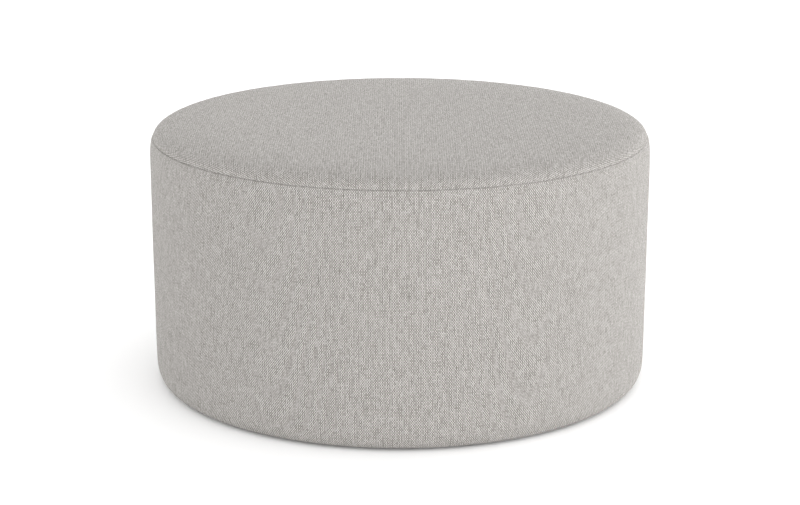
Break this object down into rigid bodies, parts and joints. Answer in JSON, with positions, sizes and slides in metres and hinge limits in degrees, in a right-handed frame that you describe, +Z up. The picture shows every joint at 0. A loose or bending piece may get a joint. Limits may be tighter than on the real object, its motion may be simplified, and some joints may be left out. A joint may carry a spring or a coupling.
{
  "type": "cocktail ottoman",
  "caption": "Round drum ottoman, fully covered in oatmeal woven cloth, with a low crowned top panel sewn to a straight padded side band that stands on the floor.",
  "frame": {"origin": "centre of the underside, on the floor", "axes": "+Z up; -Y to the front, the side the picture shows; +X to the right seen from the front; the band's join is at +Y"},
  "size_m": [0.914, 0.914, 0.4845],
  "materials": {
    "oatmeal_cloth": "matte plain weave of slubbed chenille yarn, warm grey oatmeal, heathered",
    "dust_cloth": "thin matte black bonded dust-cover cloth"
  },
  "bodies": {
    "root": {"top_panel": "oatmeal_cloth", "side_band": "oatmeal_cloth", "bottom_panel": "dust_cloth"}
  },
  "joints": []
}
